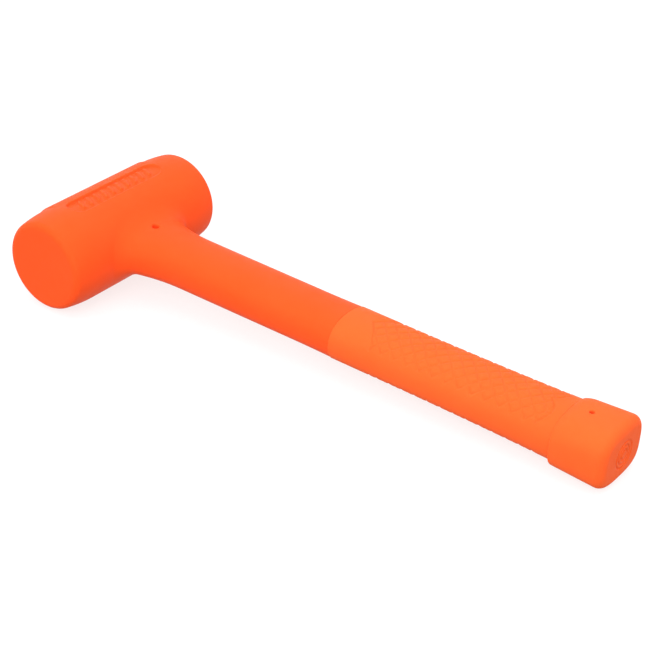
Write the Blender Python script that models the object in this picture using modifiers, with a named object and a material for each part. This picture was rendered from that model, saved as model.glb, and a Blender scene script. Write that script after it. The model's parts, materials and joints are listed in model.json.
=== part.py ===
"""A dead blow mallet, lying on its side on a flat surface.

The orange outside is three urethane mouldings: a head with its neck and shank, a grip sleeve and
a butt cap. Inside them is a steel skeleton: a closed canister along the head, a socket welded to
the canister's side and a rod down the handle. A charge of steel shot slides along the canister.

The mallet is modelled in its own tool frame: the head runs along X, the handle towards -Y, and the
origin is where the two axes cross. Distances down the handle are measured from the head's axis.
All pieces hang from one empty, which lays the mallet down: the head and the far corner of the butt
cap touch the surface at z = 0, and the box of the whole mallet is centred on x = y = 0.
"""

import math

import bmesh
import bpy
from mathutils import Matrix, Vector

MM = 0.001
GAP = 0.3 * MM                  # clearance between neighbouring solids

# Head
HEAD_LENGTH = 99.4 * MM
HEAD_RADIUS = 23.5 * MM         # the plain middle of the head
TAPER_START = 32.3 * MM         # beyond this distance from mid length the sides draw in
TAPER_DEPTH = 1.8 * MM          # how much slimmer the sides are where they meet the face's plane
FACE_FILLET = 2.8 * MM
PAD_LENGTH = 64.6 * MM          # raised pad round the side opposite the handle
PAD_RISE = 0.6 * MM
PAD_HALF_ANGLE = math.radians(74)
LABEL_LENGTH = 55 * MM          # shallow stadium recess on the upper side
LABEL_WIDTH = 11 * MM
LABEL_DEPTH = 0.7 * MM
PANEL_BACKING = 3 * MM          # how far the recess cutter reaches above the head

# Neck and shank: oval, wider along the head's axis
SHANK_HALF_X = 14.8 * MM        # where the grip starts
SHANK_HALF_Z = 10.8 * MM
SHANK_GROWTH = 0.003            # the shank's half sizes grow by this much per length towards the head
OVAL_POWER = 2.3                # 2 is an ellipse, more is squarer
NECK_START = 51.7 * MM          # from here to the head the neck flares, slowly at first
NECK_FULL = 20 * MM             # where the flare has reached its full size
NECK_FLARE_X = 7.8 * MM
NECK_FLARE_Z = 1.2 * MM
NECK_FILLET = 5.7 * MM          # rounds the corner between the neck's sides and the head
NECK_CREASE = 23.1 * MM         # where that fillet ends, just inside the head's surface

# Grip and butt cap
GRIP_START = 141 * MM
GRIP_FRONT_HALF_X = 15.5 * MM
GRIP_FRONT_HALF_Z = 11.2 * MM
GRIP_REAR_HALF_X = 16.1 * MM
GRIP_REAR_HALF_Z = 11.9 * MM
BUTT_START = 255.6 * MM
BUTT_END = 282.4 * MM
BUTT_HALF_X = 17.6 * MM
BUTT_FRONT_HALF_Z = 13.2 * MM
BUTT_REAR_HALF_Z = 14.0 * MM
BUTT_FRONT_POWER = 2.6          # the cap's outline gets squarer towards its end
BUTT_REAR_POWER = 3.2
BUTT_FILLET = 5.5 * MM
BUTT_STEP = 0.6 * MM            # small rounding at the cap's front edge

# Tenon of the head moulding inside the grip and the butt cap
TENON_HALF_X = 11.6 * MM
TENON_HALF_Z = 8.6 * MM
TENON_END = 272 * MM

# Pins that centred the steel skeleton in the mould left a round hole above and below
NECK_PIN_PLACE = 26.5 * MM
NECK_PIN_RADIUS = 1.5 * MM
BUTT_PIN_PLACE = 264.8 * MM
BUTT_PIN_RADIUS = 1.3 * MM

# Steel skeleton
CANISTER_RADIUS = 18 * MM
CANISTER_LENGTH = 80 * MM
CANISTER_WALL = 1.5 * MM
CAP_WALL = 1.5 * MM
CAP_DEPTH = 5 * MM
ROD_RADIUS = 6 * MM
ROD_END = 269 * MM
ROD_CHAMFER = 0.8 * MM
SOCKET_RADIUS = 8.5 * MM
SOCKET_END = 32 * MM

# Shot charge: a level-topped slug with the metal volume of the loose shot
SHOT_TRAVEL = 18 * MM           # free run from one cap to the other
SHOT_TOP = 2.5 * MM             # height of its level top above the canister's axis
SHOT_END_FILLET = 1.5 * MM

HEAD_STEPS = 48
OVAL_STEPS = 36
ROUND_STEPS = 32
SMALL_STEPS = 16
FILLET_STEPS = 4
TAPER_STEPS = 4
NECK_STEPS = 5
SHARP_ANGLE = math.radians(35)

MATERIALS = {
    # name: base colour, roughness, metallic
    "head_urethane": ((0.98, 0.125, 0.032), 0.45, 0.0),
    "grip_urethane": ((0.98, 0.19, 0.055), 0.55, 0.0),
    "canister_steel": ((0.55, 0.56, 0.58), 0.35, 1.0),
    "rod_steel": ((0.42, 0.43, 0.45), 0.4, 1.0),
    "shot_steel": ((0.5, 0.5, 0.52), 0.25, 1.0),
}


def clear_scene():
    """Remove every object, material and collection that the file starts with."""
    for existing in list(bpy.data.objects):
        bpy.data.objects.remove(existing, do_unlink=True)
    for collection in list(bpy.data.collections):
        bpy.data.collections.remove(collection)


def make_collection(name):
    """A new collection in the scene."""
    collection = bpy.data.collections.new(name)
    bpy.context.scene.collection.children.link(collection)
    return collection


def make_material(name):
    """A Principled BSDF material from the table at the top."""
    colour, roughness, metallic = MATERIALS[name]
    material = bpy.data.materials.new(name)
    material.use_nodes = True
    shader = material.node_tree.nodes["Principled BSDF"]
    shader.inputs["Base Color"].default_value = (*colour, 1.0)
    shader.inputs["Roughness"].default_value = roughness
    shader.inputs["Metallic"].default_value = metallic
    return material


def place_object(name, mesh, collection):
    """Link a mesh as an object that hangs from the mallet's empty."""
    made = bpy.data.objects.new(name, mesh)
    made.parent = bpy.data.objects["mallet"]
    collection.objects.link(made)
    return made


def add_object(name, bm, collection):
    """Turn a bmesh into an object with its faces pointing out."""
    bmesh.ops.recalc_face_normals(bm, faces=bm.faces)
    mesh = bpy.data.meshes.new(name)
    bm.to_mesh(mesh)
    bm.free()
    return place_object(name, mesh, collection)


def as_cutter(made):
    """Mark a helper solid: it shapes other pieces and is not a piece itself."""
    made.hide_render = True
    made.display_type = "WIRE"
    return made


def as_piece(made, material):
    """Mark a real piece: give it its material and smooth shading."""
    made.data.materials.append(material)
    made.data.shade_smooth()
    made.data.set_sharp_from_angle(angle=SHARP_ANGLE)
    return made


def combine(target, other, operation):
    """Boolean another solid into or out of the target."""
    step = target.modifiers.new(operation.lower() + "_" + other.name, "BOOLEAN")
    step.operation = operation
    step.object = other
    step.solver = "EXACT"


# ---------------------------------------------------------------- outlines

def oval(half_x, half_z, power=OVAL_POWER):
    """Points round a superellipse."""
    points = []
    for step in range(OVAL_STEPS):
        angle = 2 * math.pi * step / OVAL_STEPS
        c, s = math.cos(angle), math.sin(angle)
        points.append((half_x * math.copysign(abs(c) ** (2 / power), c),
                       half_z * math.copysign(abs(s) ** (2 / power), s)))
    return points


def quarter_arc(radius, steps):
    """Run and fall along a quarter circle: (0, 0) at its start, (radius, radius) at its end."""
    return [(radius * math.sin(math.pi / 2 * step / steps),
             radius * (1 - math.cos(math.pi / 2 * step / steps))) for step in range(steps + 1)]


# ---------------------------------------------------------------- solids

def loft(name, sections, collection):
    """A closed solid through outlines (all with equally many points) down the handle.

    Each section is a distance from the head's axis and its outline's (x, z) points.
    """
    bm = bmesh.new()
    rings = [[bm.verts.new((x, -distance, z)) for x, z in outline] for distance, outline in sections]
    for ring, following in zip(rings, rings[1:]):
        for index in range(len(ring)):
            after = (index + 1) % len(ring)
            bm.faces.new((ring[index], ring[after], following[after], following[index]))
    bm.faces.new(rings[0])
    bm.faces.new(rings[-1])
    return add_object(name, bm, collection)


def turned(name, profile, collection, steps, direction="X", ring=False):
    """A solid of revolution from (radius, position) points, turned with a Screw modifier.

    The profile runs down its outer side, from the highest position to the lowest. A ring's profile
    closes on itself; any other profile starts and ends on the axis.
    """
    bm = bmesh.new()
    verts = [bm.verts.new((radius, 0, position)) for radius, position in profile]
    for first, second in zip(verts, verts[1:]):
        bm.edges.new((first, second))
    if ring:
        bm.edges.new((verts[-1], verts[0]))
    mesh = bpy.data.meshes.new(name)
    bm.to_mesh(mesh)
    bm.free()
    made = place_object(name, mesh, collection)
    screw = made.modifiers.new("turn", "SCREW")
    screw.axis = "Z"
    screw.steps = steps
    screw.render_steps = steps
    screw.use_merge_vertices = True
    screw.merge_threshold = 0.01 * MM
    screw.use_normal_calculate = False
    screw.use_smooth_shade = True
    if direction == "X":
        made.rotation_euler = (0, math.pi / 2, 0)
    elif direction == "-Y":
        made.rotation_euler = (math.pi / 2, 0, 0)
    return made


def plain_cylinder(name, radius, low, high, collection, steps, direction="X"):
    """A turned cylinder between two positions on its axis."""
    return turned(name, [(0, high), (radius, high), (radius, low), (0, low)], collection, steps, direction)


def block(name, centre, size, collection):
    """A rectangular block."""
    bm = bmesh.new()
    bmesh.ops.create_cube(bm, size=1, matrix=Matrix.Translation(centre) @ Matrix.Diagonal((*size, 1)))
    return add_object(name, bm, collection)


# ---------------------------------------------------------------- head, neck and shank

def side_radius(position):
    """The head's radius at a distance from its mid length."""
    over = max(position - TAPER_START, 0) / (HEAD_LENGTH / 2 - TAPER_START)
    return HEAD_RADIUS - TAPER_DEPTH * over * over


def head_profile():
    """Half outline of the head: flat face, round edge, drawn-in end and plain middle."""
    half = HEAD_LENGTH / 2
    shoulder = half - FACE_FILLET
    front = [(0, half)]
    for run, fall in quarter_arc(FACE_FILLET, FILLET_STEPS):
        front.append((side_radius(half - fall) - FACE_FILLET + run, half - fall))
    for step in range(1, TAPER_STEPS + 1):
        position = shoulder + (TAPER_START - shoulder) * step / TAPER_STEPS
        front.append((side_radius(position), position))
    back = [(radius, -position) for radius, position in reversed(front)]
    return front + back


def neck_outline(distance, fillet=0):
    """The outline of the neck or shank at a distance from the head's axis."""
    growth = SHANK_GROWTH * (GRIP_START - distance)
    flare = (max(NECK_START - distance, 0) / (NECK_START - NECK_FULL)) ** 2
    return oval(SHANK_HALF_X + growth + NECK_FLARE_X * flare + fillet,
                SHANK_HALF_Z + growth + NECK_FLARE_Z * flare)


def neck_sections():
    """The neck starts inside the head, leaves it in a fillet, sheds its flare and becomes the shank."""
    root = HEAD_RADIUS / 2
    free = NECK_CREASE + NECK_FILLET
    sections = [(root, neck_outline(root, NECK_FILLET))]
    for run, fall in reversed(quarter_arc(NECK_FILLET, FILLET_STEPS)):
        sections.append((free - run, neck_outline(free - run, fall)))
    for step in range(1, NECK_STEPS + 1):
        distance = free + (NECK_START - free) * step / NECK_STEPS
        sections.append((distance, neck_outline(distance)))
    sections.append((GRIP_START, neck_outline(GRIP_START)))
    return sections


def tenon_sections(clearance, start, end):
    """The tenon's outline, grown by a clearance where it is used as a cutter."""
    outline = oval(TENON_HALF_X + clearance, TENON_HALF_Z + clearance)
    return [(start, outline), (end, outline)]


def crown_pad(cutters):
    """A thin raised pad round the side opposite the handle, cut from a slightly larger cylinder."""
    radius = HEAD_RADIUS + PAD_RISE
    pad = plain_cylinder("crown_pad", radius, -PAD_LENGTH / 2, PAD_LENGTH / 2, cutters, HEAD_STEPS)
    chord = radius * math.cos(PAD_HALF_ANGLE)
    size = (1.2 * PAD_LENGTH, radius, 3 * radius)
    keep = block("crown_side", Vector((0, chord + radius / 2, 0)), size, cutters)
    combine(pad, as_cutter(keep), "INTERSECT")
    return as_cutter(pad)


def label_cutter(cutters):
    """A stadium on the head's upper side: its floor follows the head at the recess depth."""
    half = LABEL_LENGTH / 2 - LABEL_WIDTH / 2
    radius = LABEL_WIDTH / 2
    bm = bmesh.new()
    outline = []
    for side in (1, -1):
        for step in range(SMALL_STEPS // 2 + 1):
            angle = math.pi * (step / (SMALL_STEPS // 2)) - math.pi / 2
            outline.append((side * (half + radius * math.cos(angle)), side * radius * math.sin(angle)))
    face = bm.faces.new([bm.verts.new((x, y, HEAD_RADIUS / 2)) for x, y in outline])
    lifted = bmesh.ops.extrude_face_region(bm, geom=[face])["geom"]
    top = [item for item in lifted if isinstance(item, bmesh.types.BMVert)]
    bmesh.ops.translate(bm, vec=(0, 0, HEAD_RADIUS / 2 + PANEL_BACKING), verts=top)
    stadium = add_object("label_stadium", bm, cutters)
    floor = plain_cylinder("label_floor", HEAD_RADIUS - LABEL_DEPTH, -LABEL_LENGTH, LABEL_LENGTH,
                           cutters, HEAD_STEPS)
    combine(stadium, as_cutter(floor), "DIFFERENCE")
    return as_cutter(stadium)


def skeleton_cutters(cutters):
    """The room that the urethane leaves round the canister, the socket and the rod."""
    half = CANISTER_LENGTH / 2 + GAP
    bore = ROD_RADIUS + GAP
    return [
        plain_cylinder("canister_room", CANISTER_RADIUS + GAP, -half, half, cutters, HEAD_STEPS),
        plain_cylinder("socket_room", SOCKET_RADIUS + GAP, 0, SOCKET_END + GAP, cutters, ROUND_STEPS, "-Y"),
        plain_cylinder("rod_room", bore, 0, TENON_END + 5 * MM, cutters, ROUND_STEPS, "-Y"),
    ]


def pin_cutter(name, place, radius, cutters):
    """One upright pin across the handle makes the holes above and below."""
    reach = 2 * BUTT_REAR_HALF_Z
    pin = plain_cylinder(name, radius, -reach, reach, cutters, SMALL_STEPS, "Z")
    pin.location = (0, -place, 0)
    return as_cutter(pin)


def build_head_jacket(pieces, cutters, material, pins):
    """Urethane head, neck, shank and tenon in one moulding."""
    jacket = turned("head_jacket", head_profile(), pieces, HEAD_STEPS)
    neck = loft("neck_and_shank", neck_sections(), cutters)
    tenon = loft("tenon", tenon_sections(0, GRIP_START - 5 * MM, TENON_END), cutters)
    for joined in (neck, tenon, crown_pad(cutters)):
        combine(jacket, as_cutter(joined), "UNION")
    for removed in (label_cutter(cutters), *skeleton_cutters(cutters), *pins):
        combine(jacket, as_cutter(removed), "DIFFERENCE")
    return as_piece(jacket, material)


# ---------------------------------------------------------------- grip and butt cap

def build_grip_sleeve(pieces, cutters, material):
    """The sleeve over the tenon. It swells a little towards the butt cap."""
    start, end = GRIP_START + GAP, BUTT_START - GAP
    edge = 0.6 * MM
    sections = [
        (start, oval(GRIP_FRONT_HALF_X - edge, GRIP_FRONT_HALF_Z - edge)),
        (start + edge, oval(GRIP_FRONT_HALF_X, GRIP_FRONT_HALF_Z)),
        (end, oval(GRIP_REAR_HALF_X, GRIP_REAR_HALF_Z)),
    ]
    sleeve = loft("grip_sleeve", sections, pieces)
    inside = loft("grip_bore", tenon_sections(GAP, start - 5 * MM, end + 5 * MM), cutters)
    combine(sleeve, as_cutter(inside), "DIFFERENCE")
    return as_piece(sleeve, material)


def cap_value(distance, front_value, rear_value):
    """A value that changes evenly along the butt cap."""
    return front_value + (rear_value - front_value) * (distance - BUTT_START) / (BUTT_END - BUTT_START)


def build_butt_cap(pieces, cutters, material, pin):
    """The cap over the tenon's end: it gets taller and squarer, and its end edge is round."""
    def outline(distance, inset):
        half_z = cap_value(distance, BUTT_FRONT_HALF_Z, BUTT_REAR_HALF_Z)
        power = cap_value(distance, BUTT_FRONT_POWER, BUTT_REAR_POWER)
        return oval(BUTT_HALF_X - inset, half_z - inset, power)

    front = BUTT_START + BUTT_STEP
    shoulder = BUTT_END - BUTT_FILLET
    stations = [(BUTT_START, BUTT_STEP), (front, 0), ((front + shoulder) / 2, 0)]
    stations += [(shoulder + run, fall) for run, fall in quarter_arc(BUTT_FILLET, FILLET_STEPS)]
    sections = [(distance, outline(distance, inset)) for distance, inset in stations]
    cap = loft("butt_cap", sections, pieces)
    pocket = loft("butt_pocket", tenon_sections(GAP, BUTT_START - 5 * MM, TENON_END + GAP), cutters)
    combine(cap, as_cutter(pocket), "DIFFERENCE")
    combine(cap, pin, "DIFFERENCE")
    return as_piece(cap, material)


# ---------------------------------------------------------------- steel skeleton

def build_canister(pieces, material):
    """The canister's tube and the two pressed cups that close it."""
    half = CANISTER_LENGTH / 2
    bore = CANISTER_RADIUS - CANISTER_WALL
    wall = [(CANISTER_RADIUS, half), (CANISTER_RADIUS, -half), (bore, -half), (bore, half)]
    as_piece(turned("canister_tube", wall, pieces, HEAD_STEPS, ring=True), material)
    outer = bore - GAP
    floor = half - CAP_DEPTH
    cup = [(0, floor + CAP_WALL), (outer - CAP_WALL, floor + CAP_WALL), (outer - CAP_WALL, half),
           (outer, half), (outer, floor), (0, floor)]
    for name, turn in (("canister_cap_front", math.pi / 2), ("canister_cap_rear", -math.pi / 2)):
        cap = turned(name, cup, pieces, HEAD_STEPS)
        cap.rotation_euler = (0, turn, 0)
        as_piece(cap, material)


def build_rod_and_socket(pieces, cutters, canister_steel, rod_steel):
    """The socket, saddle-cut to the canister, and the rod that it holds."""
    bore = ROD_RADIUS + GAP
    root = CANISTER_RADIUS / 2
    wall = [(SOCKET_RADIUS, SOCKET_END), (SOCKET_RADIUS, root), (bore, root), (bore, SOCKET_END)]
    socket = turned("rod_socket", wall, pieces, ROUND_STEPS, "-Y", ring=True)
    saddle = plain_cylinder("saddle", CANISTER_RADIUS + GAP, -CANISTER_RADIUS, CANISTER_RADIUS, cutters,
                            HEAD_STEPS)
    combine(socket, as_cutter(saddle), "DIFFERENCE")
    as_piece(socket, canister_steel)
    start = CANISTER_RADIUS + GAP
    rim = ROD_RADIUS - ROD_CHAMFER
    profile = [(0, ROD_END), (rim, ROD_END), (ROD_RADIUS, ROD_END - ROD_CHAMFER),
               (ROD_RADIUS, start + ROD_CHAMFER), (rim, start), (0, start)]
    as_piece(turned("handle_rod", profile, pieces, ROUND_STEPS, "-Y"), rod_steel)


def build_shot_charge(pieces, cutters, material):
    """The charge: a cylinder in the canister's bore, cut level across its top."""
    chamber = CANISTER_LENGTH - 2 * CAP_DEPTH
    half = (chamber - SHOT_TRAVEL) / 2 - GAP
    radius = CANISTER_RADIUS - CANISTER_WALL - GAP
    profile = [(0, half)]
    for run, fall in quarter_arc(SHOT_END_FILLET, 3):
        profile.append((radius - SHOT_END_FILLET + run, half - fall))
    profile += [(distance, -position) for distance, position in reversed(profile)]
    charge = turned("shot_charge", profile, pieces, HEAD_STEPS)
    size = (4 * half, 4 * radius, 2 * radius)
    above = block("shot_level", Vector((0, 0, SHOT_TOP + radius)), size, cutters)
    combine(charge, as_cutter(above), "DIFFERENCE")
    return as_piece(charge, material)


# ---------------------------------------------------------------- laying the mallet down

def resting_tilt():
    """The handle's droop when the head and the butt cap's far corner touch one flat surface."""
    along = BUTT_END - BUTT_FILLET
    below = cap_value(along, BUTT_FRONT_HALF_Z, BUTT_REAR_HALF_Z) - BUTT_FILLET
    drop = HEAD_RADIUS - BUTT_FILLET
    return math.asin(drop / math.hypot(along, below)) - math.atan2(below, along)


def lay_down(mallet, pieces):
    """Tilt the mallet and move its box's bottom centre to the origin."""
    mallet.rotation_euler = (resting_tilt(), 0, 0)
    bpy.context.view_layer.update()
    depsgraph = bpy.context.evaluated_depsgraph_get()
    corners = []
    for piece in pieces.objects:
        if piece.type == "MESH":
            shape = piece.evaluated_get(depsgraph)
            corners += [shape.matrix_world @ vertex.co for vertex in shape.data.vertices]
    low = [min(corner[axis] for corner in corners) for axis in range(3)]
    high = [max(corner[axis] for corner in corners) for axis in range(3)]
    mallet.location = (-(low[0] + high[0]) / 2, -(low[1] + high[1]) / 2, -low[2])


def build():
    clear_scene()
    pieces = make_collection("dead_blow_mallet")
    cutters = make_collection("cutters")
    mallet = bpy.data.objects.new("mallet", None)
    pieces.objects.link(mallet)
    material = {name: make_material(name) for name in MATERIALS}
    neck_pin = pin_cutter("neck_pin", NECK_PIN_PLACE, NECK_PIN_RADIUS, cutters)
    butt_pin = pin_cutter("butt_pin", BUTT_PIN_PLACE, BUTT_PIN_RADIUS, cutters)

    build_head_jacket(pieces, cutters, material["head_urethane"], (neck_pin, butt_pin))
    build_grip_sleeve(pieces, cutters, material["grip_urethane"])
    build_butt_cap(pieces, cutters, material["grip_urethane"], butt_pin)
    build_canister(pieces, material["canister_steel"])
    build_rod_and_socket(pieces, cutters, material["canister_steel"], material["rod_steel"])
    build_shot_charge(pieces, cutters, material["shot_steel"])
    lay_down(mallet, pieces)


build()
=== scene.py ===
"""Looks of the dead blow mallet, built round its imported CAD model.

The urethane mouldings are meshed from distance functions, so that the neck blends into the head
and the grip's diamonds are real relief. Shapes are worked out in the mallet's own tool frame: the
head runs along X, the handle towards -Y, and the origin is where the two axes cross. The tool
frame's place in the world comes from the record's mounts.
"""

import json
import math

import bmesh
import bpy
import numpy as np
from mathutils import Matrix, Vector


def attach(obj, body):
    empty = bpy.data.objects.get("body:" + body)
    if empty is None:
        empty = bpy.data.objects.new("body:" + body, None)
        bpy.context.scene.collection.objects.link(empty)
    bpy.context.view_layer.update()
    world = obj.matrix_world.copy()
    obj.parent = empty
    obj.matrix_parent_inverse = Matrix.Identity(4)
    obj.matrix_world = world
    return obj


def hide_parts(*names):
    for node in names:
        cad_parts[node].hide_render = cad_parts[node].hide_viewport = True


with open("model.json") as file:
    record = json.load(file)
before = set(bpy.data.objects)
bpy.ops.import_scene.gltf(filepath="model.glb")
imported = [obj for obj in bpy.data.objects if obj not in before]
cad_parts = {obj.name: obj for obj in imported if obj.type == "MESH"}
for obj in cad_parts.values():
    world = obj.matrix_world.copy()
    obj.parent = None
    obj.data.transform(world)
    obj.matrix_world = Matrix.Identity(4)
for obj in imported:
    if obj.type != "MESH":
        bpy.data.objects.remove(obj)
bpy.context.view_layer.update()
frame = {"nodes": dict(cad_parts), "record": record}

MM = 0.001

# Camera, round the middle of the object
CAMERA_AZIMUTH = math.radians(-54.1)
CAMERA_ELEVATION = math.radians(30.9)
CAMERA_ROLL = math.radians(1.71)
CAMERA_DISTANCE = 786.2 * MM
CAMERA_TARGET = Vector((1.9, 2.24, 16.13)) * MM
LENS = 95.64


def make_camera():
    """The photograph's viewing angle."""
    data = bpy.data.cameras.new("camera")
    data.lens = LENS
    data.sensor_width = 36
    camera = bpy.data.objects.new("camera", data)
    bpy.context.scene.collection.objects.link(camera)
    level = math.cos(CAMERA_ELEVATION)
    back = Vector((math.sin(CAMERA_AZIMUTH) * level, -math.cos(CAMERA_AZIMUTH) * level,
                   math.sin(CAMERA_ELEVATION)))
    turn = back.to_track_quat("Z", "Y").to_matrix() @ Matrix.Rotation(CAMERA_ROLL, 3, "Z")
    camera.matrix_world = Matrix.Translation(CAMERA_TARGET + back * CAMERA_DISTANCE) @ turn.to_4x4()
    bpy.context.scene.camera = camera


make_camera()


# ---------------------------------------------------------------- tool frame and CAD sizes

def tool_frame():
    """World matrix of the tool frame, from the two strike faces and the butt face."""
    mounts = {mount["name"]: mount for mount in frame["record"]["mounts"]}
    front, rear = mounts["strike_face_front"], mounts["strike_face_rear"]
    centre = (Vector(front["pos_m"]) + Vector(rear["pos_m"])) / 2
    along_head = Vector(front["axis"]).normalized()
    up_handle = -Vector(mounts["butt_face"]["axis"]).normalized()
    turn = Matrix((along_head, up_handle, along_head.cross(up_handle))).transposed()
    return Matrix.Translation(centre) @ turn.to_4x4()


TOOL = tool_frame()


def extent(node):
    """Lowest and highest corner of a CAD node in the tool frame."""
    to_tool = TOOL.inverted()
    points = np.array([to_tool @ vertex.co for vertex in frame["nodes"][node].data.vertices])
    return points.min(0), points.max(0)


HEAD_LOW, HEAD_HIGH = extent("head_jacket")
GRIP_LOW, GRIP_HIGH = extent("grip_sleeve")
BUTT_LOW, BUTT_HIGH = extent("butt_cap")
SHOT_HIGH = extent("shot_charge")[1]

HEAD_HALF = HEAD_HIGH[0]
HEAD_RADIUS = -HEAD_LOW[2]
TENON_END = -HEAD_LOW[1]
GRIP_START, GRIP_END = -GRIP_HIGH[1], -GRIP_LOW[1]
BUTT_START, BUTT_END = -BUTT_HIGH[1], -BUTT_LOW[1]

# Head: a plain middle, ends that draw in towards the faces, and a raised pad opposite the handle
TAPER_START = 32.3 * MM
TAPER_DEPTH = 1.81 * MM
FACE_FILLET = 2.76 * MM
PAD_HALF_LENGTH = 32.3 * MM
PAD_RISE = HEAD_HIGH[1] - HEAD_RADIUS
PAD_HALF_ANGLE = math.radians(67)
PAD_EDGE_WIDTH = 8 * MM         # the pad fades out slowly down the head's sides
STEP_WIDTH = 0.5 * MM           # how far a moulded step takes to rise
WALL_WIDTH = 0.7 * MM           # the same for the walls in the label
SOFT_STEP_WIDTH = 1.2 * MM      # the same for a worn or slanted step

# Label recess on the head's upper side, with a plain row of slanted bars. Its floor slopes, so
# that it is deepest along the crown.
LABEL_HALF_LENGTH = 30.5 * MM
LABEL_RADIUS = 5.5 * MM
LABEL_DEPTH_CROWN = 1.45 * MM
LABEL_DEPTH_HANDLE = 0.6 * MM
BAR_COUNT = 10
BAR_PITCH = 5.1 * MM
BAR_HALF_WIDTH = 1.0 * MM
BAR_HALF_HEIGHT = 3.8 * MM
BAR_SLANT = 0.45                # how far a bar moves along the head for its height
BAR_RISE = 0.85 * MM

# Neck and shank: an oval that grows a little towards the head, and flares into it
SHANK_HALF_X = 14.82 * MM       # where the grip starts
SHANK_HALF_Z = 10.83 * MM
SHANK_GROWTH = 0.003
OVAL_POWER = 2.3                # 2 is an ellipse, more is squarer
LEAST_SIZE = 0.05               # keeps the oval's slope finite at its middle
NECK_START = 51.7 * MM
NECK_FULL = 20 * MM
NECK_FLARE_X = 7.8 * MM
NECK_FLARE_Z = 0.2 * MM
COLLAR_FLARE = 0.25 * MM        # the shank widens a little just before the grip
COLLAR_FLARE_LENGTH = 23 * MM
NECK_FILLET = 5.7 * MM
TENON_HALF_X = 11.6 * MM
TENON_HALF_Z = 8.6 * MM
SEAM = 0.02 * MM                # what is left open between two mouldings that touch

# Holes that the mould's pins left, above and below
PIN_HOLE_RIM = 0.3 * MM
PIN_SKIN = 0.4 * MM             # urethane that covers the steel at the bottom of the neck's hole
NECK_PIN_PLACE = 26.2 * MM
NECK_PIN_RADIUS = 1.75 * MM
BUTT_PIN_PLACE = 264.8 * MM
BUTT_PIN_RADIUS = 1.2 * MM

# Steel skeleton's room inside the urethane
GAP = 0.3 * MM
CANISTER_RADIUS = 18 * MM
CANISTER_HALF = 40 * MM
SOCKET_RADIUS = 8.5 * MM
SOCKET_END = 32 * MM
ROD_RADIUS = 6 * MM

# Grip, and the diamonds that are pressed into it above and below
GRIP_FRONT_HALF_X = 15.45 * MM
GRIP_FRONT_HALF_Z = 11.15 * MM
GRIP_REAR_HALF_X = 16.4 * MM
GRIP_REAR_HALF_Z = 12.2 * MM
GRIP_SWELL_POWER = 3            # the grip swells late, near the butt cap
GRIP_EDGE = 0.3 * MM
DIAMOND_LENGTH = 6.7 * MM       # along the handle
DIAMOND_WIDTH = 7.8 * MM        # round the handle
DIAMOND_ROWS = 3                # the panel is this many cells wide to each side of its middle
GROOVE_DEPTH = 0.42 * MM
GROOVE_WIDTH = 1.5 * MM
BORDER_DEPTH = 0.6 * MM         # groove along the ends of the panel
BORDER_REACH = 1.5 * MM         # how far that groove runs past the panel's sides
DIAMOND_CROWN = 0.2 * MM        # how much lower a diamond's corners are than its middle
PANEL_START = 154.5 * MM        # along the handle, at the panel's middle
PANEL_END = 245.8 * MM
PANEL_START_SLOPE = 0.78        # how fast each border moves back towards the panel's sides
PANEL_START_CURVE = 15.5 / 1000 / MM
PANEL_END_SLOPE = 1.2
PANEL_END_CURVE = 80 / 1000 / MM
PANEL_HALF_WIDTH = 14.2 * MM    # past this the borders run straight on

# Butt cap: gets taller and squarer towards its end
BUTT_FRONT_HALF_X = 17.6 * MM
BUTT_REAR_HALF_X = 17.67 * MM
BUTT_FRONT_HALF_Z = 13.2 * MM
BUTT_REAR_HALF_Z = 14.0 * MM
BUTT_FRONT_POWER = 2.58
BUTT_REAR_POWER = 3.15
BUTT_FILLET = 4.4 * MM
BUTT_INSET = 0.5 * MM           # the flat end stands back a little from the CAD's end
BUTT_STEP = 0.8 * MM            # rounding of the cap's front edge
BUTT_LIP = 0.95 * MM            # above, the edge is worn down by this much
BUTT_LIP_LENGTH = 4.5 * MM
BUTT_DOME = 0.3 * MM
RING_RADII = (6.4 * MM, 4.4 * MM, 2.4 * MM)
RING_HALF_WIDTH = 0.4 * MM
RING_DEPTH = 0.45 * MM

# Loose steel balls in the canister
BALL_RADIUS = 2 * MM
BALL_COUNT = 430
BALL_GAP = 0.03 * MM
SHOT_SEED = 7
SETTLE_TURNS = 400
SINK_STEP = 0.06 * MM
PUSH_SHARE = 0.4                # share of an overlap that is undone in one turn
SINK_FADE = 1.5                 # more than 1: the balls stop sinking before the last turn

# Mesh steps
HEAD_STEP = 0.7 * MM
LABEL_STEP = 0.42 * MM          # round the label and the neck's pin hole
SHANK_STEP = 3 * MM             # along the plain shank and the tenon
GRIP_STEPS = (0.42 * MM, 0.45 * MM, 0.9 * MM)
BUTT_MESH_STEP = 0.4 * MM
END_STEP = 0.12 * MM            # at the sharp ends where two mouldings meet
MARGIN = 1 * MM                 # how far finer steps and grids reach past what they are for
PIN_MARGIN = 2 * MM
LEAST_SLOPE = 0.05              # keeps points from jumping where a distance has no clear slope
PROBE = 0.02 * MM               # distance over which a slope is measured


# ---------------------------------------------------------------- distance functions

def smooth_step(value, width):
    """0 below -width/2, 1 above +width/2."""
    share = np.clip(value / width + 0.5, 0, 1)
    return share * share * (3 - 2 * share)


def blend_union(first, second, width):
    """Union of two solids, softened over a width where they meet."""
    share = np.maximum(width - np.abs(first - second), 0) / width
    return np.minimum(first, second) - share * share * share * width / 6


def fillet_union(first, second, radius):
    """Union of two solids with a round fillet between them."""
    return (np.maximum(radius, np.minimum(first, second))
            - np.hypot(np.maximum(radius - first, 0), np.maximum(radius - second, 0)))


def carve(solid, cutter, rim):
    """A solid with a cutter taken out, the rim of the cut slightly rounded."""
    return -blend_union(-solid, cutter, rim)


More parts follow.
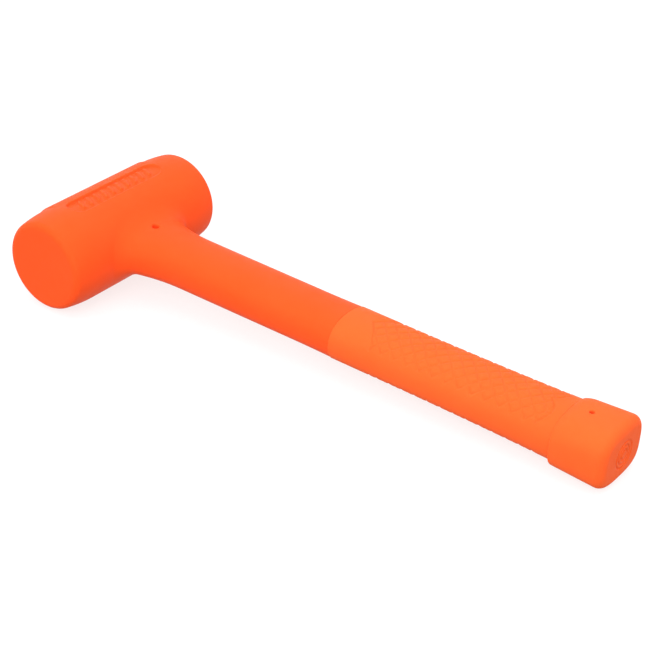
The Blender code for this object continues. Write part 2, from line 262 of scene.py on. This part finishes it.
def rounded_corner(first, second, radius):
    """Intersection of two half spaces whose edge is rounded to a radius."""
    over_first = np.maximum(first + radius, 0)
    over_second = np.maximum(second + radius, 0)
    inside = np.minimum(np.maximum(first, second) + radius, 0)
    return np.hypot(over_first, over_second) + inside - radius


def oval_distance(x, z, half_x, half_z, power=OVAL_POWER):
    """About the distance to a superellipse."""
    u, v = np.abs(x) / half_x, np.abs(z) / half_z
    size = np.maximum((u ** power + v ** power) ** (1 / power), LEAST_SIZE)
    slope = size ** (1 - power) * np.hypot(u ** (power - 1) / half_x, v ** (power - 1) / half_z)
    return (size - 1) / np.maximum(slope, 1)


def stadium_distance(x, y, half_length, radius):
    """Distance to a stadium outline that lies along X."""
    return np.hypot(np.maximum(np.abs(x) - (half_length - radius), 0), y) - radius


def label_relief(x, y):
    """Height of the head's surface in the label recess: 0 outside it, negative inside it."""
    edge = stadium_distance(x, y, LABEL_HALF_LENGTH, LABEL_RADIUS)
    recess = 1 - smooth_step(edge, WALL_WIDTH)
    towards_crown = np.clip(y / LABEL_RADIUS / 2 + 0.5, 0, 1)
    depth = LABEL_DEPTH_HANDLE + (LABEL_DEPTH_CROWN - LABEL_DEPTH_HANDLE) * towards_crown
    slanted = x - BAR_SLANT * y
    last = (BAR_COUNT - 1) / 2
    nearest = np.clip(np.round(slanted / BAR_PITCH - 0.5) + 0.5, -last, last)
    beside = np.abs(slanted - nearest * BAR_PITCH) - BAR_HALF_WIDTH
    bar = np.maximum(beside, np.abs(y) - BAR_HALF_HEIGHT)
    return recess * (BAR_RISE * (1 - smooth_step(bar, WALL_WIDTH)) - depth)


def head_distance(x, y, z):
    """The head: a cylinder with drawn-in ends, rounded face edges, crown pad and label recess."""
    radial = np.hypot(y, z)
    over = np.maximum(np.abs(x) - TAPER_START, 0) / (HEAD_HALF - TAPER_START)
    radius = HEAD_RADIUS - TAPER_DEPTH * over * over
    on_pad = 1 - smooth_step(np.abs(x) - PAD_HALF_LENGTH, SOFT_STEP_WIDTH)
    around = (np.arctan2(np.abs(z), y) - PAD_HALF_ANGLE) * HEAD_RADIUS
    on_pad = on_pad * (1 - smooth_step(around, PAD_EDGE_WIDTH))
    radius = radius + PAD_RISE * on_pad + np.where(z > 0, label_relief(x, y), 0)
    return rounded_corner(np.abs(x) - HEAD_HALF, radial - radius, FACE_FILLET)


def shank_distance(x, down, z):
    """The neck and shank, from the head's axis to the grip."""
    growth = SHANK_GROWTH * (GRIP_START - np.maximum(down, 0))
    to_collar = np.clip((down - GRIP_START) / COLLAR_FLARE_LENGTH + 1, 0, 1)
    growth = growth + COLLAR_FLARE * to_collar ** 2
    flare = np.maximum((NECK_START - np.maximum(down, 0)) / (NECK_START - NECK_FULL), 0) ** 2
    side = oval_distance(x, z, SHANK_HALF_X + growth + NECK_FLARE_X * flare,
                         SHANK_HALF_Z + growth + NECK_FLARE_Z * flare)
    return np.maximum(side, -down)


def jacket_distance(point):
    """Head, neck, shank and tenon, with the pin holes."""
    x, y, z = point.T
    down = -y
    solid = fillet_union(head_distance(x, y, z), shank_distance(x, down, z), NECK_FILLET)
    solid = np.maximum(solid, down - GRIP_START + SEAM)
    tenon = np.maximum(oval_distance(x, z, TENON_HALF_X, TENON_HALF_Z), down - TENON_END)
    solid = np.minimum(solid, np.maximum(tenon, -down))
    pin_floor = SOCKET_RADIUS + GAP + PIN_SKIN
    pin = np.maximum(np.hypot(x, down - NECK_PIN_PLACE) - NECK_PIN_RADIUS, pin_floor - np.abs(z))
    return carve(solid, pin, PIN_HOLE_RIM)


# The grip's mean section, and the length along it from its top to each turn
GRIP_MEAN_X = (GRIP_FRONT_HALF_X + GRIP_REAR_HALF_X) / 2
GRIP_MEAN_Z = (GRIP_FRONT_HALF_Z + GRIP_REAR_HALF_Z) / 2
TURN_STEPS = 400
TURNS = np.linspace(0, math.pi / 2, TURN_STEPS)
GRIP_SECTION = np.stack([GRIP_MEAN_X * np.sin(TURNS) ** (2 / OVAL_POWER),
                         GRIP_MEAN_Z * np.cos(TURNS) ** (2 / OVAL_POWER)])
TURN_LENGTHS = np.concatenate([[0], np.cumsum(np.hypot(*np.diff(GRIP_SECTION, axis=1)))])


def groove_depth(to_groove, depth=GROOVE_DEPTH):
    """Depth of a pressed groove at a distance from its middle line."""
    return depth * (1 - smooth_step(to_groove - GROOVE_WIDTH / 4, GROOVE_WIDTH / 2))


def in_panel(rising, falling):
    """True for the diamonds of the panel, which are numbered along the two families of grooves."""
    return np.abs(rising - falling) <= DIAMOND_ROWS


def grip_relief(x, down, z):
    """Height of the grip's surface on its upper and lower panels: 0 outside them."""
    turn = np.arctan2((np.abs(x) / GRIP_MEAN_X) ** (OVAL_POWER / 2),
                      (np.abs(z) / GRIP_MEAN_Z) ** (OVAL_POWER / 2))
    around = np.interp(turn, TURNS, TURN_LENGTHS)
    # the two diagonal families of grooves lie where these are whole numbers
    along_cell = (down - PANEL_START) / DIAMOND_LENGTH
    around_cell = np.sign(x) * around / DIAMOND_WIDTH
    spacing = 1 / math.hypot(1 / DIAMOND_LENGTH, 1 / DIAMOND_WIDTH)
    place = np.stack([along_cell + around_cell, along_cell - around_cell])
    cell = np.floor(place)
    beyond = cell + np.where(place - cell < 0.5, -1, 1)
    to_line = np.abs(place - np.round(place)) * spacing
    here = in_panel(*cell)
    rising_line = np.where(here | in_panel(beyond[0], cell[1]), to_line[0], np.inf)
    falling_line = np.where(here | in_panel(cell[0], beyond[1]), to_line[1], np.inf)
    grooves = groove_depth(np.minimum(rising_line, falling_line))
    from_middle = np.clip(1 - to_line[0] * to_line[1] / (spacing / 2) ** 2, 0, 1)
    relief = -grooves - DIAMOND_CROWN * here * from_middle ** 2
    # curved borders cut the pattern off at both ends, each with a groove of its own
    width = np.minimum(around, PANEL_HALF_WIDTH)
    start = PANEL_START + PANEL_START_SLOPE * width - PANEL_START_CURVE * width * width
    end = PANEL_END + PANEL_END_SLOPE * width - PANEL_END_CURVE * width * width
    inward = np.minimum(down - start, end - down)
    relief = relief * smooth_step(inward, STEP_WIDTH)
    border = groove_depth(np.abs(inward), BORDER_DEPTH) * (around < PANEL_HALF_WIDTH + BORDER_REACH)
    return np.minimum(relief, -border)


def grip_distance(point, textured=True):
    """The grip sleeve: a slightly swelling oval, with or without its textured panels."""
    x, y, z = point.T
    down = -y
    share = np.clip((down - GRIP_START) / (GRIP_END - GRIP_START), 0, 1) ** GRIP_SWELL_POWER
    half_x = GRIP_FRONT_HALF_X + (GRIP_REAR_HALF_X - GRIP_FRONT_HALF_X) * share
    half_z = GRIP_FRONT_HALF_Z + (GRIP_REAR_HALF_Z - GRIP_FRONT_HALF_Z) * share
    side = oval_distance(x, z, half_x, half_z) - (grip_relief(x, down, z) if textured else 0)
    solid = rounded_corner(side, GRIP_START - down, GRIP_EDGE)
    solid = np.maximum(solid, down - BUTT_START + SEAM)
    tenon = oval_distance(x, z, TENON_HALF_X + GAP, TENON_HALF_Z + GAP)
    return np.maximum(solid, -tenon)


def butt_distance(point):
    """The butt cap: a block that gets squarer, pin holes and a target of rings on its domed end."""
    x, y, z = point.T
    down = -y
    share = np.clip((down - BUTT_START) / (BUTT_END - BUTT_START), 0, 1)
    half_x = BUTT_FRONT_HALF_X + (BUTT_REAR_HALF_X - BUTT_FRONT_HALF_X) * share
    half_z = BUTT_FRONT_HALF_Z + (BUTT_REAR_HALF_Z - BUTT_FRONT_HALF_Z) * share
    power = BUTT_FRONT_POWER + (BUTT_REAR_POWER - BUTT_FRONT_POWER) * share
    side = oval_distance(x, z, half_x, half_z, power)
    dome = BUTT_DOME * ((x / BUTT_REAR_HALF_X) ** 2 + (z / BUTT_REAR_HALF_Z) ** 2)
    end = BUTT_END - BUTT_INSET - dome
    solid = rounded_corner(side, down - end, BUTT_FILLET)
    worn = smooth_step(z - BUTT_FRONT_HALF_Z / 2, BUTT_FRONT_HALF_Z)
    lip = BUTT_LIP * worn * np.clip(1 - (down - BUTT_START) / BUTT_LIP_LENGTH, 0, 1) ** 2
    solid = rounded_corner(solid + lip, BUTT_START - down, BUTT_STEP * (1 - worn) + GAP / 3)
    from_axis = np.hypot(x, z)
    for radius in RING_RADII:
        across = np.abs(from_axis - radius) - RING_HALF_WIDTH
        ring = np.maximum(across, end - RING_DEPTH - down)
        solid = carve(solid, ring, RING_DEPTH / 2)
    tenon = oval_distance(x, z, TENON_HALF_X + GAP, TENON_HALF_Z + GAP)
    solid = np.maximum(solid, -np.maximum(tenon, down - TENON_END - GAP))
    pin = np.maximum(np.hypot(x, down - BUTT_PIN_PLACE) - BUTT_PIN_RADIUS, ROD_RADIUS - np.abs(z))
    return carve(solid, pin, PIN_HOLE_RIM)


# ---------------------------------------------------------------- meshing

def planes(low, high, step):
    """Evenly spaced grid planes that reach a little past both ends."""
    count = int(math.ceil((high - low) / step)) + 4
    middle = (low + high) / 2
    return middle + (np.arange(count) - (count - 1) / 2) * step


def with_finer(grid, low, high, step):
    """The same grid planes, but closer together from low to high."""
    count = max(round((high - low) / step), 1)
    kept = grid[(grid < low - step / 2) | (grid > high + step / 2)]
    return np.sort(np.concatenate([kept, np.linspace(low, high, count + 1)]))


def dual_mesh(distance, xs, ys, zs):
    """Vertices and quads of the surface where distance is zero: one vertex in each grid cell that
    the surface crosses, and one quad round each grid edge that it crosses."""
    grid = np.meshgrid(xs, ys, zs, indexing="ij")
    value = distance(np.stack([axis.ravel() for axis in grid], axis=1)).reshape(grid[0].shape)
    inside = value < 0
    cells = tuple(size - 1 for size in value.shape)
    total = np.zeros(cells + (3,))
    count = np.zeros(cells)
    edges = []
    for axis in range(3):
        first = [slice(None)] * 3
        second = [slice(None)] * 3
        first[axis], second[axis] = slice(0, -1), slice(1, None)
        crossed = np.argwhere(inside[tuple(first)] != inside[tuple(second)])
        side, up = (axis + 1) % 3, (axis + 2) % 3
        inner = ((crossed[:, side] > 0) & (crossed[:, side] < cells[side])
                 & (crossed[:, up] > 0) & (crossed[:, up] < cells[up]))
        crossed = crossed[inner]
        after = crossed.copy()
        after[:, axis] += 1
        low, high = value[tuple(crossed.T)], value[tuple(after.T)]
        share = low / (low - high)
        start = np.stack([(xs, ys, zs)[k][crossed[:, k]] for k in range(3)], axis=1)
        end = np.stack([(xs, ys, zs)[k][after[:, k]] for k in range(3)], axis=1)
        place = start + share[:, None] * (end - start)
        corners = []
        for step_side, step_up in ((-1, -1), (0, -1), (0, 0), (-1, 0)):
            cell = crossed.copy()
            cell[:, side] += step_side
            cell[:, up] += step_up
            corners.append(cell)
            np.add.at(total, tuple(cell.T), place)
            np.add.at(count, tuple(cell.T), 1)
        quad = np.stack([np.ravel_multi_index(tuple(cell.T), cells) for cell in corners], axis=1)
        outward = inside[tuple(crossed.T)]
        quad[~outward] = quad[~outward][:, ::-1]
        edges.append(quad)
    used = np.flatnonzero(count.ravel())
    number = np.full(count.size, -1)
    number[used] = np.arange(len(used))
    points = total.reshape(-1, 3)[used] / count.ravel()[used][:, None]
    return points, number[np.concatenate(edges)]


def onto_surface(distance, points, reach, along=None, rounds=4):
    """Slide points until they lie on the surface, along its own slope or another distance's."""
    along = along or distance
    for _ in range(rounds):
        slope = np.empty_like(points)
        for axis in range(3):
            offset = np.zeros(3)
            offset[axis] = PROBE
            slope[:, axis] = (along(points + offset) - along(points - offset)) / (2 * PROBE)
        steep = np.maximum((slope * slope).sum(axis=1), LEAST_SLOPE)
        move = slope * (distance(points) / steep)[:, None]
        length = np.linalg.norm(move, axis=1)
        move *= np.minimum(1, reach / np.maximum(length, 1e-12))[:, None]
        points = points - move
    return points


def solid_from(name, distance, xs, ys, zs, textured=None):
    """A smooth-shaded piece in world space, meshed from its distance function in the tool frame. If
    it has a textured form too, the plain mesh is pushed in or out to that."""
    points, quads = dual_mesh(distance, xs, ys, zs)
    reach = np.diff(xs).min() / 2
    points = onto_surface(distance, points, reach)
    if textured:
        points = onto_surface(textured, points, reach, along=distance)
    mesh = bpy.data.meshes.new(name)
    mesh.from_pydata(points.tolist(), [], quads.tolist())
    mesh.transform(TOOL)
    mesh.shade_smooth()
    piece = bpy.data.objects.new(name, mesh)
    bpy.context.scene.collection.objects.link(piece)
    return piece


def rod(name, radius, start, end, down_handle=True, sides=64):
    """A plain cylinder in the tool frame, for cutting: down the handle or along the head."""
    bm = bmesh.new()
    bmesh.ops.create_cone(bm, cap_ends=True, segments=sides, radius1=radius, radius2=radius,
                          depth=end - start)
    middle = (start + end) / 2
    turn = Matrix.Rotation(math.pi / 2, 4, "X" if down_handle else "Y")
    shift = Vector((0, -middle, 0)) if down_handle else Vector((middle, 0, 0))
    bmesh.ops.transform(bm, matrix=TOOL @ Matrix.Translation(shift) @ turn, verts=bm.verts)
    mesh = bpy.data.meshes.new(name)
    bm.to_mesh(mesh)
    bm.free()
    return bpy.data.objects.new(name, mesh)


def cut_rooms(piece, cutters):
    """Cut the cutters' shapes out of a piece, and delete the cutters."""
    for cutter in cutters:
        bpy.context.scene.collection.objects.link(cutter)
        cut = piece.modifiers.new("room", "BOOLEAN")
        cut.operation = "DIFFERENCE"
        cut.solver = "MANIFOLD"
        cut.object = cutter
    depsgraph = bpy.context.evaluated_depsgraph_get()
    whole = piece.data
    piece.data = bpy.data.meshes.new_from_object(piece.evaluated_get(depsgraph))
    piece.modifiers.clear()
    bpy.data.meshes.remove(whole)
    for cutter in cutters:
        bpy.data.objects.remove(cutter)


# ---------------------------------------------------------------- materials

NOISE_LOW, NOISE_HIGH = 0.3, 0.7    # most of a noise texture's values lie between these
URETHANE_SETTINGS = {
    "Subsurface Weight": 0.12,
    "Subsurface Radius": (1.0, 0.3, 0.1),
    "Subsurface Scale": 2 * MM,
    "Specular IOR Level": 0.07,
    "Specular Tint": (1.0, 0.5, 0.25, 1),
}
STAIN_SHADE = 0.72              # stained steel's brightness beside clean steel's


def base_material(name, roughness, metallic):
    """A Principled material, with its node tree, its shader and a source of object coordinates."""
    material = bpy.data.materials.new(name)
    material.use_nodes = True
    tree = material.node_tree
    shader = tree.nodes["Principled BSDF"]
    shader.inputs["Roughness"].default_value = roughness
    shader.inputs["Metallic"].default_value = metallic
    coordinates = tree.nodes.new("ShaderNodeTexCoord")
    return material, tree, shader, coordinates.outputs["Object"]


def noise(tree, where, scale, detail=3.0, roughness=0.5):
    """A noise texture's value output."""
    node = tree.nodes.new("ShaderNodeTexNoise")
    node.inputs["Scale"].default_value = scale
    node.inputs["Detail"].default_value = detail
    node.inputs["Roughness"].default_value = roughness
    tree.links.new(where, node.inputs["Vector"])
    return node.outputs["Fac"]


def spread(tree, value, low, high):
    """A noise's usual range stretched to low..high."""
    node = tree.nodes.new("ShaderNodeMapRange")
    node.inputs["From Min"].default_value = NOISE_LOW
    node.inputs["From Max"].default_value = NOISE_HIGH
    node.inputs["To Min"].default_value = low
    node.inputs["To Max"].default_value = high
    tree.links.new(value, node.inputs["Value"])
    return node.outputs["Result"]


def mixed(tree, share, first, second):
    """A colour between two colours."""
    node = tree.nodes.new("ShaderNodeMix")
    node.data_type = "RGBA"
    node.inputs["A"].default_value = (*first, 1)
    node.inputs["B"].default_value = (*second, 1)
    tree.links.new(share, node.inputs["Factor"])
    return node.outputs["Result"]


def bump(tree, height, strength, distance, under=None):
    """A bump node's normal, on top of another bump."""
    node = tree.nodes.new("ShaderNodeBump")
    node.inputs["Strength"].default_value = strength
    node.inputs["Distance"].default_value = distance
    tree.links.new(height, node.inputs["Height"])
    if under is not None:
        tree.links.new(under, node.inputs["Normal"])
    return node.outputs["Normal"]


def urethane(name, colour, other, roughness, grain):
    """Cast urethane: faint mottling, a fine moulded grain and slightly uneven gloss."""
    material, tree, shader, where = base_material(name, roughness, metallic=0.0)
    mottle = noise(tree, where, scale=40, detail=4)
    mottled = mixed(tree, spread(tree, mottle, 0, 1), colour, other)
    tree.links.new(mottled, shader.inputs["Base Color"])
    gloss = noise(tree, where, scale=160, detail=5)
    uneven = spread(tree, gloss, roughness - 0.05, roughness + 0.07)
    tree.links.new(uneven, shader.inputs["Roughness"])
    waves = noise(tree, where, scale=120, detail=2)
    waviness = bump(tree, waves, strength=0.15, distance=0.15 * MM)
    grains = noise(tree, where, scale=grain, detail=3, roughness=0.6)
    fine = bump(tree, grains, strength=0.25, distance=0.04 * MM, under=waviness)
    tree.links.new(fine, shader.inputs["Normal"])
    for setting, value in URETHANE_SETTINGS.items():
        shader.inputs[setting].default_value = value
    return material


def steel(name, colour, roughness, grain_along):
    """Drawn steel: a grain that runs along one axis and slight staining."""
    material, tree, shader, where = base_material(name, roughness, metallic=1.0)
    stretch = tree.nodes.new("ShaderNodeMapping")
    stretch.inputs["Scale"].default_value = grain_along
    tree.links.new(where, stretch.inputs["Vector"])
    grain = noise(tree, stretch.outputs["Vector"], scale=900, detail=4)
    stain = noise(tree, where, scale=90, detail=5)
    darker = tuple(channel * STAIN_SHADE for channel in colour)
    stained = mixed(tree, spread(tree, stain, 0, 1), colour, darker)
    tree.links.new(stained, shader.inputs["Base Color"])
    uneven = spread(tree, grain, roughness - 0.08, roughness + 0.12)
    tree.links.new(uneven, shader.inputs["Roughness"])
    tree.links.new(bump(tree, grain, strength=0.2, distance=0.03 * MM), shader.inputs["Normal"])
    return material


HEAD_URETHANE = urethane("head_urethane", (0.98, 0.092, 0.0175), (0.96, 0.087, 0.0155),
                         roughness=0.42, grain=2600)
GRIP_URETHANE = urethane("grip_urethane", (0.98, 0.126, 0.026), (0.96, 0.120, 0.024),
                         roughness=0.5, grain=2000)
CANISTER_STEEL = steel("canister_steel", (0.55, 0.56, 0.58), 0.35, grain_along=(1, 0.04, 0.04))
ROD_STEEL = steel("rod_steel", (0.42, 0.43, 0.45), 0.4, grain_along=(1, 0.04, 1))
SHOT_STEEL = steel("shot_steel", (0.5, 0.5, 0.52), 0.25, grain_along=(1, 1, 1))

# The CAD nodes that are shown as they are
KEPT_NODES = {
    "canister_tube": CANISTER_STEEL,
    "canister_cap_front": CANISTER_STEEL,
    "canister_cap_rear": CANISTER_STEEL,
    "rod_socket": CANISTER_STEEL,
    "handle_rod": ROD_STEEL,
}


def dress(piece, material, slot, *nodes):
    """Give a piece its material, attach it to its body and hide the CAD nodes it stands for. The
    slot is not used.
    """
    piece.data.materials.clear()
    piece.data.materials.append(material)
    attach(piece, "shot" if nodes == ("shot_charge",) else "mallet")
    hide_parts(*nodes)


# ---------------------------------------------------------------- pieces

def make_jacket():
    """Head, neck, shank and tenon, hollow for the steel parts."""
    crown = HEAD_RADIUS + PAD_RISE
    xs = with_finer(planes(-HEAD_HALF, HEAD_HALF, HEAD_STEP),
                    -LABEL_HALF_LENGTH - MARGIN, LABEL_HALF_LENGTH + MARGIN, LABEL_STEP)
    ys = planes(-TENON_END, crown, SHANK_STEP)
    ys = with_finer(ys, -NECK_START - NECK_FILLET, crown + 2 * HEAD_STEP, HEAD_STEP)
    ys = with_finer(ys, -LABEL_RADIUS - MARGIN, LABEL_RADIUS + MARGIN, LABEL_STEP)
    ys = with_finer(ys, -NECK_PIN_PLACE - PIN_MARGIN, -NECK_PIN_PLACE + PIN_MARGIN, LABEL_STEP)
    ys = with_finer(ys, -GRIP_START - MARGIN, -GRIP_START + MARGIN, END_STEP)
    zs = planes(-HEAD_RADIUS, HEAD_RADIUS, HEAD_STEP)
    piece = solid_from("head_and_shank", jacket_distance, xs, ys, zs)
    canister_end = CANISTER_HALF + GAP
    cut_rooms(piece, [
        rod("canister_room", CANISTER_RADIUS + GAP, -canister_end, canister_end, down_handle=False),
        rod("socket_room", SOCKET_RADIUS + GAP, 0, SOCKET_END + GAP),
        rod("rod_room", ROD_RADIUS + GAP, 0, TENON_END + ROD_RADIUS),
    ])
    dress(piece, HEAD_URETHANE, "head_urethane", "head_jacket")


def make_grip():
    """The textured sleeve."""
    step_x, step_y, step_z = GRIP_STEPS
    xs = planes(GRIP_LOW[0] - MARGIN, GRIP_HIGH[0] + MARGIN, step_x)
    ys = planes(GRIP_LOW[1], GRIP_HIGH[1], step_y)
    for end in (-BUTT_START, -GRIP_START):
        ys = with_finer(ys, end - step_y, end + step_y, END_STEP)
    zs = planes(GRIP_LOW[2] - MARGIN, GRIP_HIGH[2] + MARGIN, step_z)
    piece = solid_from("textured_grip", lambda point: grip_distance(point, textured=False),
                       xs, ys, zs, textured=grip_distance)
    dress(piece, GRIP_URETHANE, "grip_urethane", "grip_sleeve")


def make_butt():
    """The pommel."""
    step = BUTT_MESH_STEP
    xs = planes(BUTT_LOW[0] - MARGIN, BUTT_HIGH[0] + MARGIN, step)
    ys = with_finer(planes(BUTT_LOW[1], BUTT_HIGH[1], step),
                    -BUTT_START - step, -BUTT_START + step, END_STEP)
    zs = planes(BUTT_LOW[2] - MARGIN, BUTT_HIGH[2] + MARGIN, step)
    piece = solid_from("pommel_cap", butt_distance, xs, ys, zs)
    dress(piece, GRIP_URETHANE, "grip_urethane", "butt_cap")


def settled_centres():
    """Middles of the steel balls: scattered in the space of the CAD's slug, then let sink and
    pushed apart until none overlap."""
    chance = np.random.default_rng(SHOT_SEED)
    reach_x, reach_r, top = (high - BALL_RADIUS for high in SHOT_HIGH)
    centres = chance.uniform((-reach_x, -reach_r, -reach_r), (reach_x, reach_r, top),
                             (BALL_COUNT, 3))
    for turn in range(SETTLE_TURNS):
        centres[:, 2] -= SINK_STEP * max(1 - SINK_FADE * turn / SETTLE_TURNS, 0)
        apart = centres[:, None] - centres[None]
        far = np.sqrt((apart ** 2).sum(axis=2)) + np.eye(BALL_COUNT)
        overlap = np.maximum(2 * BALL_RADIUS + BALL_GAP - far, 0)
        centres += (apart * (overlap / far)[:, :, None]).sum(axis=1) * PUSH_SHARE
        centres[:, 0] = np.clip(centres[:, 0], -reach_x, reach_x)
        from_axis = np.hypot(centres[:, 1], centres[:, 2])
        centres[:, 1:] *= np.minimum(1, reach_r / np.maximum(from_axis, MM))[:, None]
        centres[:, 2] = np.minimum(centres[:, 2], top)
    return centres


def make_shot():
    """The loose steel balls."""
    bm = bmesh.new()
    bmesh.ops.create_icosphere(bm, subdivisions=3, radius=BALL_RADIUS)
    ball = np.array([vertex.co for vertex in bm.verts])
    faces = np.array([[vertex.index for vertex in face.verts] for face in bm.faces])
    bm.free()
    centres = settled_centres()
    points = (centres[:, None] + ball[None]).reshape(-1, 3)
    triangles = (faces[None] + len(ball) * np.arange(len(centres))[:, None, None]).reshape(-1, 3)
    mesh = bpy.data.meshes.new("shot_balls")
    mesh.from_pydata(points.tolist(), [], triangles.tolist())
    mesh.transform(TOOL)
    mesh.shade_smooth()
    piece = bpy.data.objects.new("shot_balls", mesh)
    bpy.context.scene.collection.objects.link(piece)
    dress(piece, SHOT_STEEL, "shot_steel", "shot_charge")


make_jacket()
make_grip()
make_butt()
make_shot()
for node, material in KEPT_NODES.items():
    frame["nodes"][node].data.materials.clear()
    frame["nodes"][node].data.materials.append(material)


# ---------------------------------------------------------------- studio

FLOOR_HALF = 4.0
FLOOR_COLOUR = (0.25, 0.25, 0.25)
FLOOR_FIBRES = (0.23, 0.23, 0.23)
FLOOR_GLOW = 0.78
LIGHT_FROM_BELOW = 0.5
LIGHT_FROM_ABOVE = 1.3


def make_floor():
    """White paper. It is seen, and takes soft shadows, but throws no light up onto the mallet."""
    half = FLOOR_HALF
    mesh = bpy.data.meshes.new("floor")
    mesh.from_pydata([(-half, -half, 0), (half, -half, 0), (half, half, 0), (-half, half, 0)], [],
                     [(0, 1, 2, 3)])
    floor = bpy.data.objects.new("floor", mesh)
    bpy.context.scene.collection.objects.link(floor)
    floor.visible_diffuse = False
    floor.visible_glossy = False
    material, tree, shader, where = base_material("floor", roughness=0.9, metallic=0.0)
    fibres = spread(tree, noise(tree, where, scale=300, detail=4), 0, 1)
    tree.links.new(mixed(tree, fibres, FLOOR_COLOUR, FLOOR_FIBRES), shader.inputs["Base Color"])
    shader.inputs["Specular IOR Level"].default_value = 0
    shader.inputs["Emission Color"].default_value = (1, 1, 1, 1)
    shader.inputs["Emission Strength"].default_value = FLOOR_GLOW
    mesh.materials.append(material)


def soft_light(name, place, size, power):
    """A soft square light that faces the middle of the mallet."""
    data = bpy.data.lights.new(name, "AREA")
    data.shape = "SQUARE"
    data.size = size
    data.energy = power
    light = bpy.data.objects.new(name, data)
    light.location = place
    light.rotation_euler = Vector(place).to_track_quat("Z", "Y").to_euler()
    bpy.context.scene.collection.objects.link(light)


def make_surroundings():
    """White light from all round, strongest from above."""
    world = bpy.data.worlds.new("studio")
    bpy.context.scene.world = world
    world.use_nodes = True
    tree = world.node_tree
    where = tree.nodes.new("ShaderNodeTexCoord").outputs["Generated"]
    split = tree.nodes.new("ShaderNodeSeparateXYZ")
    tree.links.new(where, split.inputs["Vector"])
    height = tree.nodes.new("ShaderNodeMapRange")
    height.inputs["From Min"].default_value = -1
    height.inputs["From Max"].default_value = 1
    height.inputs["To Min"].default_value = LIGHT_FROM_BELOW
    height.inputs["To Max"].default_value = LIGHT_FROM_ABOVE
    tree.links.new(split.outputs["Z"], height.inputs["Value"])
    background = tree.nodes["Background"]
    background.inputs["Color"].default_value = (1, 1, 1, 1)
    tree.links.new(height.outputs["Result"], background.inputs["Strength"])


make_floor()
soft_light("overhead", (0, 0, 1.2), size=1.2, power=3.5)
soft_light("front_left", (-0.65, -0.15, 0.5), size=0.5, power=3.0)
make_surroundings()
bpy.context.scene.view_settings.view_transform = "Standard"
